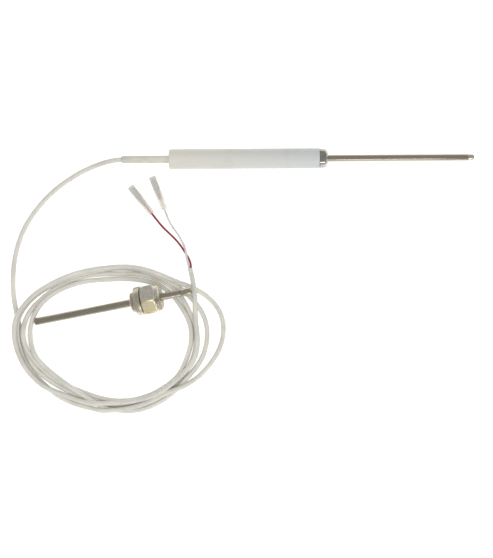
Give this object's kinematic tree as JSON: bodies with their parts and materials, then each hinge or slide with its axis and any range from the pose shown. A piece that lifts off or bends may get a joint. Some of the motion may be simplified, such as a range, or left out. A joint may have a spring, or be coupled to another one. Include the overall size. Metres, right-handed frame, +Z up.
{
  "type": "flame sensor probe",
  "caption": "Flame sensor probe: steel sheath in a white insulating handle, coiled two-core cable with push-on spades, and a guide tube with screwed gland.",
  "frame": {"origin": "centre of the plane the set lies on, under the middle of the probe and guide tube (free cable left out)", "axes": "+X along the probe from the cable end to the sensing tip, +Z up from the plane, +Y from the coil towards the probe"},
  "size_m": [0.3732, 0.2123, 0.0262],
  "materials": {
    "white_plastic": "satin white insulating plastic",
    "steel": "drawn stainless tube",
    "bright_steel": "polished",
    "gland_metal": "plated, mottled by handling",
    "cream_jacket": "glossy cream cable jacket",
    "cream_sleeve": "matt cream sleeve",
    "red_wire": "glossy red insulation",
    "white_wire": "glossy white insulation",
    "tinned_metal": "tin plated",
    "clear_sleeve": "milky translucent sleeve",
    "ceramic": "matt ceramic",
    "brass": "plain brass"
  },
  "bodies": {
    "root": {"handle": "white_plastic", "front_cap": "bright_steel", "probe_sheath": "steel", "sheath_tip": "bright_steel", "ceramic_insulator": "ceramic", "sensing_element": "ceramic", "strain_sleeve": "cream_sleeve", "rear_bush": "ceramic", "cable_in_handle": "cream_jacket", "cable_crimp_ring": "brass", "element_leg_red": "tinned_metal", "element_leg_white": "tinned_metal", "splice_red": "brass", "splice_white": "brass", "core_red_in_handle": "red_wire", "core_white_in_handle": "white_wire", "gland_body": "gland_metal", "gland_olive": "brass", "cable_lead": "cream_jacket", "cable_coil": "cream_jacket", "cable_tail": "cream_jacket", "wire_red": "red_wire", "wire_white": "white_wire", "spade_red": "tinned_metal", "spade_white": "tinned_metal"},
    "guide_tube": {"guide_tube": "steel", "tube_end_plug": "steel", "mouth_collar": "gland_metal"},
    "gland_follower": {"gland_follower": "steel"},
    "gland_nut": {"gland_nut": "gland_metal"},
    "sleeve_red": {"spade_sleeve_red": "clear_sleeve"},
    "sleeve_white": {"spade_sleeve_white": "clear_sleeve"}
  },
  "joints": [
    {"name": "guide_tube_slide", "type": "slide", "parent": "root", "child": "guide_tube", "axis": [0.9766, 0.187, 0.1062], "range_m": [0, 0.06]},
    {"name": "follower_lift", "type": "slide", "parent": "root", "child": "gland_follower", "axis": [0.9766, 0.187, 0.1062], "range_m": [0, 0.0023]},
    {"name": "gland_nut_turn", "type": "hinge", "parent": "gland_follower", "child": "gland_nut", "pos_m": [-0.08851, -0.05062, 0.01241], "axis": [0.9766, 0.187, 0.1062], "range_deg": [0, 540]},
    {"name": "sleeve_red_slide", "type": "slide", "parent": "root", "child": "sleeve_red", "axis": [0.6157, -0.788, 0], "range_m": [0, 0.008]},
    {"name": "sleeve_white_slide", "type": "slide", "parent": "root", "child": "sleeve_white", "axis": [0.3518, -0.9361, 0], "range_m": [0, 0.008]}
  ],
  "couplings": [
    {"joint": "follower_lift", "follows": "gland_nut_turn", "m_per_rad": 0.00023873}
  ]
}
